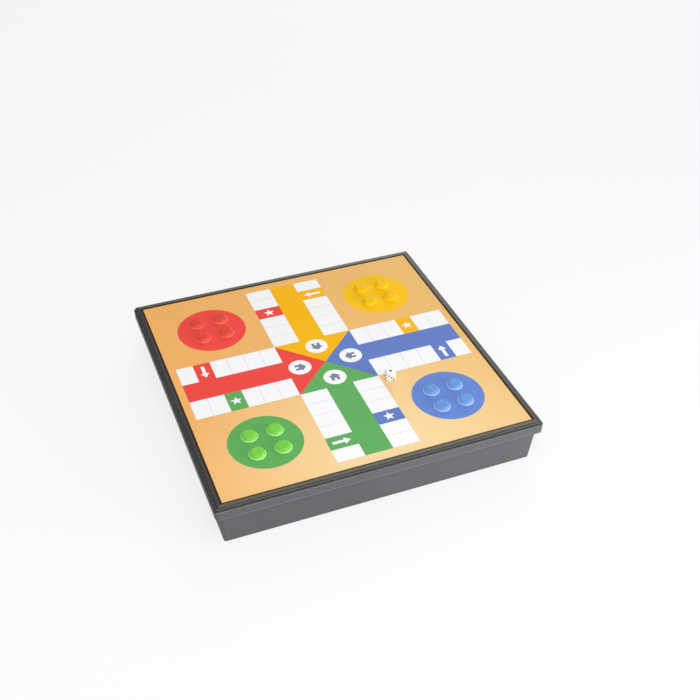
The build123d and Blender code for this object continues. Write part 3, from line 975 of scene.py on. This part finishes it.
def five_point_star(across, along, x, y, tip, waist=0.42):
    """One inside a five-pointed star that stands upright."""
    turn = maths("ARCTAN2", shifted(across, x), shifted(along, y))
    fold = maths("ABSOLUTE", maths("WRAP", turn, math.pi / 5, -math.pi / 5))
    edge = Vector((waist * math.cos(math.pi / 5) - 1, waist * math.sin(math.pi / 5)))
    normal = Vector((edge.y, -edge.x)).normalized()
    lean = maths("ADD", times(maths("COSINE", fold), normal.x), times(maths("SINE", fold), normal.y))
    return maths("LESS_THAN", times(distance_to(across, along, x, y), lean), tip * normal.x)


print("Shapes ready")

# %% [markdown]
# ## One arm of the cross
# An arm is three columns of six cells. The middle column is the run home in the player's
# colour, and the start cell beside it belongs to it. A cell in the next player's colour, which
# gets a star later, lies on the other side. At the inner end a wedge of the centre square takes
# the player's colour too.

# %% The arm as a node group: cells and colours
centre_half, column, arm_end, half_line, overlap = 0.269, 0.0897, 0.949, 0.0016, 0.002
cell = (arm_end - centre_half) / 6
white_ink, line_ink, mark_ink = ink(250, 250, 252), ink(214, 210, 224), ink(126, 136, 162)


def cell_row(number):
    """The outer and inner edge of a cell, counted from the centre square."""
    return -centre_half - number * cell, -centre_half - (number - 1) * cell


arm = bpy.data.node_groups.new("ludo_arm", "ShaderNodeTree")
arm_sockets = {"Across": "Float", "Along": "Float", "Ground": "Color", "Ink": "Color", "Next Ink": "Color"}
for label, kind in arm_sockets.items():
    arm.interface.new_socket(name=label, in_out="INPUT", socket_type="NodeSocket" + kind)
arm.interface.new_socket(name="Colour", in_out="OUTPUT", socket_type="NodeSocketColor")
arm_in, arm_out = arm.nodes.new("NodeGroupInput"), arm.nodes.new("NodeGroupOutput")
across, along, ground, own_ink, next_ink = arm_in.outputs[:5]
three_columns = box(across, along, -centre_half, centre_half, -arm_end, -centre_half)
rules = larger(grid_lines(along, -centre_half, cell, half_line),
               grid_lines(across, -3 * column, 2 * column, half_line))
start_cell = box(across, along, -3 * column, -column, *cell_row(5))
star_cell = box(across, along, column, 3 * column, *cell_row(4))
home_run = box(across, along, -column, column, -arm_end, overlap - centre_half)
centre_wedge = wedge(across, along, 0, -centre_half, 0.0, centre_half)
colour = lay(ground, white_ink, three_columns)
colour = lay(colour, line_ink, times(rules, three_columns))
colour = lay(colour, own_ink, larger(larger(start_cell, home_run), centre_wedge))
colour = lay(colour, next_ink, star_cell)
print("Cells are", round(cell, 4), "deep and", 2 * column, "wide")

# %% [markdown]
# ## Marks on the arm
# A plain arrow marks the start cell, and a small house on a white disc marks the end of the run.
# Both are put together from rectangles and wedges.

# %% The arm as a node group: arrow, disc and house
start_x, start_y = -2 * column, sum(cell_row(5)) / 2
arrow_reach, arrow_half, shaft_end, shaft_half, head_foot = 0.060, 0.029, 0.022, 0.0115, 0.018
disc_y, disc_radius = -0.179, 0.0757
roof_foot, roof_tip, roof_half = -0.172, -0.138, 0.043
wall_half_width, wall_low, wall_high = 0.028, -0.212, -0.170
door_half, door_low, door_high = 0.008, -0.213, -0.188
shaft = box(across, along, start_x - arrow_reach, start_x + shaft_end,
            start_y - shaft_half, start_y + shaft_half)
head = wedge(along, across, start_y, start_x + head_foot, start_x + arrow_reach, arrow_half)
roof = wedge(across, along, 0, roof_foot, roof_tip, roof_half)
walls = box(across, along, -wall_half_width, wall_half_width, wall_low, wall_high)
door = box(across, along, -door_half, door_half, door_low, door_high)
colour = lay(colour, white_ink, larger(shaft, head))
colour = lay(colour, white_ink, disc(across, along, 0, disc_y, disc_radius))
colour = lay(colour, mark_ink, maths("SUBTRACT", larger(roof, walls), door))
arm.links.new(colour, arm_out.inputs["Colour"])
print("Arm group has", len(arm.nodes), "nodes")

# %% [markdown]
# ## The whole board
# The ground is orange, paler towards the front where a pool of light is painted on, with the arms
# laid on it one by one, then the four home circles and the stars, which all stand upright. The
# pattern is a little less deep than it is wide.

# %% The card's finish: the pattern
player_ink = {"green": ink(99, 175, 96), "blue": ink(101, 128, 200),
              "yellow": ink(250, 187, 0), "red": ink(241, 77, 70)}
circle_ink = {"green": ink(99, 175, 94), "blue": ink(103, 138, 212),
              "yellow": ink(253, 197, 0), "red": ink(242, 79, 71)}
painted_light_orange, orange_left, orange_right = ink(249, 216, 160), ink(245, 182, 106), ink(240, 192, 114)
pattern_depth, circle_x, circle_y, circle_radius, star_tip = 0.978, 0.61, 0.60, 0.2335, 0.040
gloss_print, shader = new_finish("printed_gloss_card", (253, 199, 124), 0.45, 0.06)
place = object_place(shader)
board_x, board_y = (maths("DIVIDE", side, print_half) for side in millimetres(place, "XY"))
pattern_y = maths("DIVIDE", board_y, pattern_depth)
minus_x, minus_y = times(board_x, -1.0), times(pattern_y, -1.0)
orange_deep = lay(orange_left, orange_right, spread(board_x, -0.9, 0.9, 0, 1))
# Painted light: the orange is paler round a point near the middle of the front edge and deepens away from it.
painted_light_fade = spread(distance_to(board_x, board_y, 0.1, -1.0), 0.3, 1.35, 0, 1)
colour = lay(painted_light_orange, orange_deep, painted_light_fade)
for own, after, across, along in (
        ("green", "blue", board_x, pattern_y), ("blue", "yellow", pattern_y, minus_x),
        ("yellow", "red", minus_x, minus_y), ("red", "green", minus_y, board_x)):
    group = shader.id_data.nodes.new("ShaderNodeGroup")
    group.node_tree = arm
    group.label = own + "_arm"
    for label, value in zip(arm_sockets, (across, along, colour, player_ink[own], player_ink[after])):
        feed(group.inputs[label], value)
    colour = group.outputs["Colour"]
for own, (side, end) in home_circles.items():
    circle = disc(board_x, board_y, side * circle_x, end * circle_y, circle_radius)
    colour = lay(colour, circle_ink[own], circle)
star_side, star_out = 2 * column, -sum(cell_row(4)) / 2
for x, y in ((star_side, -star_out), (star_out, star_side), (-star_side, star_out), (-star_out, -star_side)):
    colour = lay(colour, white_ink, five_point_star(board_x, pattern_y, x, y, star_tip))
print("Pattern laid over", len(player_ink), "arms")

# %% [markdown]
# ## Film and cut edge
# On top of the pattern comes what every print has, a very light mottle of the ink and a film that
# is not quite flat. A dark line along the edge is the painted shadow of the lid's ridge, and a pale
# core shows where the card was cut through.

# %% The card's finish: film, edge and core
ridge_shadow_width = 0.4
rim_reach = larger(maths("ABSOLUTE", board_x), maths("ABSOLUTE", board_y))
# Painted shadow: the lid's ridge shades a thin dark line along the edge of the print.
colour = lay(colour, ink(60, 34, 20), over(rim_reach, 1 - ridge_shadow_width / print_half))
mottled = fed_node("ShaderNodeVectorMath", [colour], operation="SCALE")
feed(mottled.inputs["Scale"], spread(cloud(place, 2200, 2), 0.3, 0.7, 0.97, 1.03))
tint(shader, mottled.outputs[0])
roughen(shader, cloud(place, 60, 1), 0.42, 0.48)
relief(shader, (cloud(place, 30, 0), 0.2, 0.4), (cloud(place, 900, 1), 0.003, 0.4))
card_core, shader = new_finish("cut_card_core", (238, 234, 226), 0.8)
layers = cloud(object_place(shader, stretch=(1, 1, 30)), 300, 2)
tint(shader, lay(ink(222, 216, 204), ink(246, 243, 237), layers))
relief(shader, (layers, 0.02, 0.6))
give(printed_card, gloss_print, card_core)
for face in printed_card.data.polygons:
    face.material_index = 0 if face.normal.z > 0.5 else 1
print("Print faces:", sum(face.material_index == 0 for face in printed_card.data.polygons))

# %% [markdown]
# ## Milky coloured plastic for the men
# The men are moulded in milky tinted polystyrene and polished, so their tops shine. A painted
# highlight makes the thin edge at the foot and the lower sides paler: the paler ink is laid on by
# height, a little subsurface scattering softens it, and faint hair scratches vary the gloss.

# %% The men's finishes
def tinted_plastic(name, colour, painted_highlight_colour):
    """Polished milky plastic with a painted highlight that makes the foot and lower sides paler."""
    finish, shader = new_finish(name, colour, 0.3, 0.06)
    place = object_place(shader)
    haze = cloud(place, 260, 1)
    body = lay(ink(*colour), dimmed(colour, 0.95), spread(haze, 0.35, 0.65, 0, 1))
    height = shifted(millimetres(place, "Z")[0], print_level)
    # Painted highlight: paler ink at the foot's edge, fading up the lower sides by height.
    edge = larger(spread(height, 0.9, 1.15, 1, 0), spread(height, 1.1, 3.2, 0.45, 0))
    scratches = cloud(object_place(shader, stretch=(1, 9, 1)), 500, 1)
    tint(shader, lay(body, ink(*painted_highlight_colour), edge))
    roughen(shader, scratches, 0.26, 0.38, low=0.4, high=0.75)
    for label, value in (("Subsurface Weight", 0.5), ("Subsurface Radius", (1, 1, 1)),
                         ("Subsurface Scale", 1.2 * mm), ("IOR", 1.5)):
        shader.inputs[label].default_value = value
    relief(shader, (haze, 0.003, 0.2))
    return finish


# Each colour has its body ink and the paler ink of its painted foot highlight.
man_inks = {
    "red": ((230, 78, 64), (252, 130, 116)), "yellow": ((254, 194, 0), (255, 218, 60)),
    "green": ((126, 211, 76), (190, 252, 168)), "blue": ((109, 157, 221), (184, 210, 255))}
for colour_name, (man_ink, painted_highlight_ink) in man_inks.items():
    finish = tinted_plastic(f"{colour_name}_milky_plastic", man_ink, painted_highlight_ink)
    for number in range(1, 5):
        give(men[colour_name, number], finish)
print("Tinted plastics:", ", ".join(man_inks))

# %% [markdown]
# ## The die's pips
# A pip is a shallow round dent with a dot of paint. One ball per pip stands a little outside the
# face, so only a cap of it cuts in. The one is large and red, as on most dice from the Far
# East, and the others are dark. The die is then turned a little and set down on the board.

# %% The die: plastic and paints
def die_finish(name, colour, roughness, depth):
    """Opaque plastic or paint with a slight cloud and grain."""
    finish, shader = new_finish(name, colour, roughness)
    place = object_place(shader)
    haze = cloud(place, 500, 2)
    tint(shader, lay(ink(*colour), dimmed(colour, 0.9), spread(haze, 0.4, 0.7, 0, 0.6)))
    roughen(shader, haze, roughness - 0.05, roughness + 0.08)
    relief(shader, (cloud(place, 1800, 2), depth, 0.5))
    return finish


die_plastic = die_finish("die_white_plastic", (246, 245, 242), 0.22, 0.01)
red_paint = die_finish("pip_red_paint", (188, 22, 46), 0.4, 0.03)
dark_paint = die_finish("pip_dark_paint", (32, 32, 46), 0.4, 0.03)
give(die, die_plastic)
print("Die finishes:", die_plastic.name, red_paint.name, dark_paint.name)

# %% The die: pips and place
pip_pitch, pip_depth, pip_radius, one_radius = 2.0, 0.3, 0.7, 1.25
die_x, die_y, die_turn = 41.3, -39.6, -10
corners = [(-1, 1), (1, -1), (1, 1), (-1, -1)]
die_faces = {
    1: ((0, 0, 1), (1, 0, 0), (0, 1, 0)), 6: ((0, 0, -1), (1, 0, 0), (0, -1, 0)),
    3: ((0, -1, 0), (1, 0, 0), (0, 0, 1)), 4: ((0, 1, 0), (-1, 0, 0), (0, 0, 1)),
    2: ((1, 0, 0), (0, 1, 0), (0, 0, 1)), 5: ((-1, 0, 0), (0, -1, 0), (0, 0, 1))}


def pip_ball(radius, paint, outward, place):
    """A painted ball that cuts a dent of a radius round a place on a face of the die."""
    ball = (radius ** 2 + pip_depth ** 2) / (2 * pip_depth)
    centre = Vector(outward) * (die_half - pip_depth + ball) + place
    pick_nothing()
    bpy.ops.mesh.primitive_uv_sphere_add(
        segments=32, ring_count=24, radius=ball * mm, location=centre * mm,
        rotation=Vector(outward).to_track_quat("Z", "Y").to_euler())
    pip = settle(bpy.context.object)
    give(pip, paint)
    return pip


for count, (outward, across, up) in die_faces.items():
    layout = corners[:2 * min(count // 2, 2)]
    layout += [(-1, 0), (1, 0)] * (count == 6) + [(0, 0)] * (count % 2)
    radius, paint = (one_radius, red_paint) if count == 1 else (pip_radius, dark_paint)
    for x, y in layout:
        place = Vector(across) * x * pip_pitch + Vector(up) * y * pip_pitch
        combine(die, pip_ball(radius, paint, outward, place), "DIFFERENCE", "TRANSFER")
shade(die, 25)
die.location = (die_x * mm, die_y * mm, (print_level + die_half) * mm)
die.rotation_euler.z = math.radians(die_turn)
settle(die)
print("Die has", [slot.name for slot in die.material_slots], len(die.data.polygons), "faces")

# %% [markdown]
# ## Metal and magnets
# Three kinds of hidden piece are good as the CAD model has them, so they keep its meshes and only
# get finishes: the sheet steel under the card with its rolling lines, the two bright drawn
# pins, and the sixteen ferrite discs, which are dull and a little crumbly.

# %% Finishes for the CAD pieces that stay
def drawn_steel(name, colour, stretch, scale):
    """Bright steel with fine lines along one direction."""
    finish, shader = new_finish(name, colour, 0.3)
    shader.inputs["Metallic"].default_value = 1.0
    lines = cloud(object_place(shader, stretch=stretch), scale, 3, 0.6)
    tint(shader, lay(dimmed(colour, 0.8), ink(*colour), spread(lines, 0.3, 0.7, 0, 1)))
    roughen(shader, lines, 0.24, 0.42)
    relief(shader, (lines, 0.01, 0.5))
    return finish


def ferrite(name):
    """Dull sintered ferrite."""
    finish, shader = new_finish(name, (58, 56, 58), 0.72)
    grain = cloud(object_place(shader), 2600, 4, 0.7)
    tint(shader, lay(ink(44, 42, 44), ink(78, 76, 78), spread(grain, 0.35, 0.65, 0, 1)))
    roughen(shader, grain, 0.62, 0.82)
    relief(shader, (grain, 0.04, 0.6))
    return finish


def refinish(finish, *nodes):
    """Put a finish in every material slot of some CAD nodes."""
    for node in nodes:
        for slot in bpy.data.objects[node].material_slots:
            slot.link = "OBJECT"
            slot.material = finish


sheet_steel = drawn_steel("rolled_steel", (176, 178, 182), (1, 0.02, 1), 1800)
pin_steel = drawn_steel("drawn_pin_steel", (196, 198, 202), (0.05, 1, 1), 2400)
refinish(sheet_steel, "steel_sheet")
refinish(pin_steel, "hinge_pin_left", "hinge_pin_right")
refinish(ferrite("ferrite"), *[f"magnet_{colour_name}_{number}" for colour_name, number in men])
print("CAD pieces refinished: steel sheet, 2 pins,", len(men), "magnets")

# %% [markdown]
# ## The floor
# The box stands on a plain white floor in an even white room. What the camera sees of floor and
# room is lifted towards white through the Light Path node, which keeps a faint shadow and puts no
# more light on the object.

# %% Floor
floor_size, floor_lift = 12, 0.75


def seen_directly(tree):
    """One for the rays that come straight from the camera."""
    return tree.nodes.new("ShaderNodeLightPath").outputs["Is Camera Ray"]


def white_light(tree, kind, strength):
    """A node that shines plain white."""
    light = tree.nodes.new(kind)
    light.inputs["Color"].default_value = (1, 1, 1, 1)
    light.inputs["Strength"].default_value = strength
    return light.outputs[0]


def mixed(share, plain, special):
    """Two surfaces or backgrounds mixed by a share of the second."""
    return fed_node("ShaderNodeMixShader", (share, plain, special)).outputs[0]


pick_nothing()
bpy.ops.mesh.primitive_plane_add(size=floor_size, location=(0, 0, 0))
floor = settle(bpy.context.object, "floor")
paper, shader = new_finish("floor_paper", (244, 244, 245), 0.9, 0.1)
tree = shader.id_data
tint(shader, lay(ink(243, 243, 244), ink(246, 246, 247), cloud(object_place(shader), 3, 2)))
white = white_light(tree, "ShaderNodeEmission", 1.0)
lifted = mixed(times(seen_directly(tree), floor_lift), shader.outputs[0], white)
feed(tree.nodes["Material Output"].inputs["Surface"], lifted)
give(floor, paper)
floor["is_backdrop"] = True
print("The floor is", floor_size, "m wide")

# %% [markdown]
# ## The light
# The light comes from three soft boxes, which are area lamps. The key hangs above the front, a
# second one lights the top from behind on the right, and a low one reaches the front wall. A large
# lamp near the object gives soft shadows and fades gently over the board.

# %% Lamps and room
def softbox(name, place, width, height, power):
    """A large lit panel that shines on the box and isn't seen itself."""
    aim = (Vector((0, 0, 0.03)) - Vector(place)).to_track_quat("-Z", "Y").to_euler()
    pick_nothing()
    bpy.ops.object.light_add(type="AREA", location=place, rotation=aim)
    lamp = bpy.context.object
    lamp.name = name
    lamp.data.shape = "RECTANGLE"
    lamp.data.size, lamp.data.size_y = width, height
    lamp.data.energy = power
    lamp.visible_camera = False


softbox("key_softbox", (-0.25, -0.6, 1.05), 0.9, 0.9, 7.5)
softbox("back_softbox", (1.1, 1.7, 1.05), 1.2, 1.4, 12)
softbox("side_softbox", (0.62, -0.64, 0.2), 0.45, 0.3, 4)
room = bpy.context.scene.world or bpy.data.worlds.new("room")
bpy.context.scene.world = room
room.use_nodes = True
tree = room.node_tree
tree.nodes.clear()
lit, seen = (white_light(tree, "ShaderNodeBackground", strength) for strength in (0.42, 1.0))
surround = tree.nodes.new("ShaderNodeOutputWorld")
feed(surround.inputs["Surface"], mixed(seen_directly(tree), lit, seen))
bpy.context.scene.view_settings.view_transform = "Standard"

# %% [markdown]
# ## What moves with what
# Every new piece stands for a CAD node and rides on the body that the node belongs to, so the
# lid takes the card along when it opens, and each man lifts with its magnet. The sizes before and
# after are compared, and how far the box grew is printed.

# %% Tie the pieces to their bodies
stands_for = [
    (tray, "base_tray", "tray", "case_plastic"), (lid, "lid_frame", "lid", "case_plastic"),
    (printed_card, "board_print", "lid", "printed_card"), (die, "die", "die", "die_plastic")]
for (colour_name, number), piece in men.items():
    node, body = f"man_{colour_name}_{number}", f"{colour_name}_man_{number}"
    stands_for.append((piece, node, body, f"{colour_name}_plastic"))
for piece, node, body, slot in stands_for:
    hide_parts(node)
    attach(piece, body)
sizes = {"cad": [list(corner) for corner in cad_box], "visual": [list(corner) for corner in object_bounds()]}
growth = [[round((a - b) / mm, 2) for a, b in zip(*pair)] for pair in zip(sizes["visual"], sizes["cad"])]
print("Box grew by", growth, "mm")
